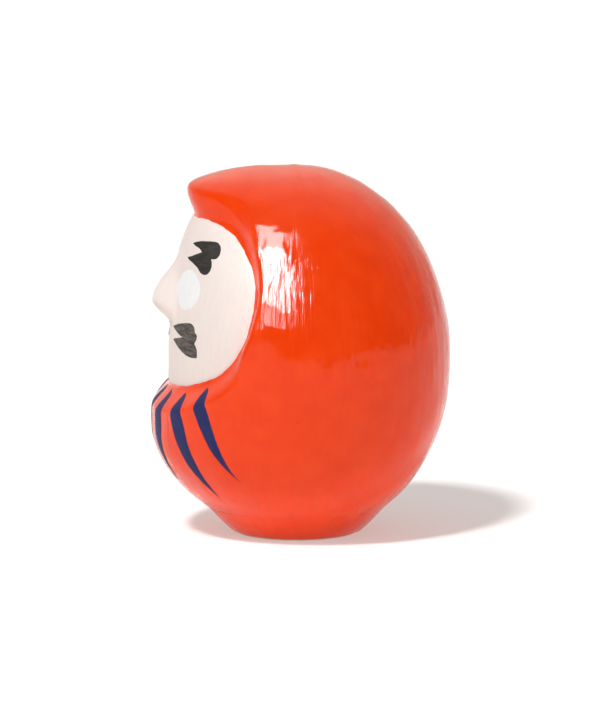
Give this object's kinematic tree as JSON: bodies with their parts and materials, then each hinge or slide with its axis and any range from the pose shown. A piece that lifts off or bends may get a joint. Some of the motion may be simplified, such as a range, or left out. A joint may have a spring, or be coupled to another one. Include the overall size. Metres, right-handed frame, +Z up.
{
  "type": "daruma doll",
  "caption": "Hollow papier-mache roly-poly doll: two half shells on a weighted papered base, hooded face hollow with nose, blank eyes, brows, moustache and beard strokes.",
  "frame": {"origin": "centre of the flat underside, on the axis of the base and of the back half, where the doll rests", "axes": "+Z up; -Y towards the face, so the doll looks along -Y; +X to the doll's own left; x = 0 is its mirror plane"},
  "size_m": [0.108, 0.105, 0.13],
  "materials": {
    "orange_shell": "gloss orange varnish over papier-mache",
    "orange_base": "gloss orange varnish over papier-mache",
    "flesh_paint": "matte flesh-coloured ground paint on paper",
    "white_paint": "matte white paint on paper",
    "black_paint": "matte black brushed ink on paper",
    "moustache_paint": "matte thin black brushed ink on paper",
    "navy_paint": "satin navy brushed paint on paper",
    "bare_paper": "matte unpainted washi paper",
    "clay": "matte unfired clay"
  },
  "bodies": {
    "root": {"front_shell": "orange_shell", "back_shell": "orange_shell", "base_cup": "orange_base", "base_weight": "clay", "base_paper": "bare_paper", "seam_strip_left": "bare_paper", "seam_strip_right": "bare_paper", "nose": "flesh_paint", "face_coat": "flesh_paint", "eye_left": "white_paint", "eye_right": "white_paint", "brow_left": "black_paint", "brow_right": "black_paint", "moustache_left": "moustache_paint", "moustache_right": "moustache_paint", "beard_stripe_1": "navy_paint", "beard_stripe_2": "navy_paint", "beard_stripe_3": "navy_paint", "beard_stripe_4": "navy_paint", "beard_stripe_5": "navy_paint", "beard_stripe_6": "navy_paint"}
  },
  "joints": []
}
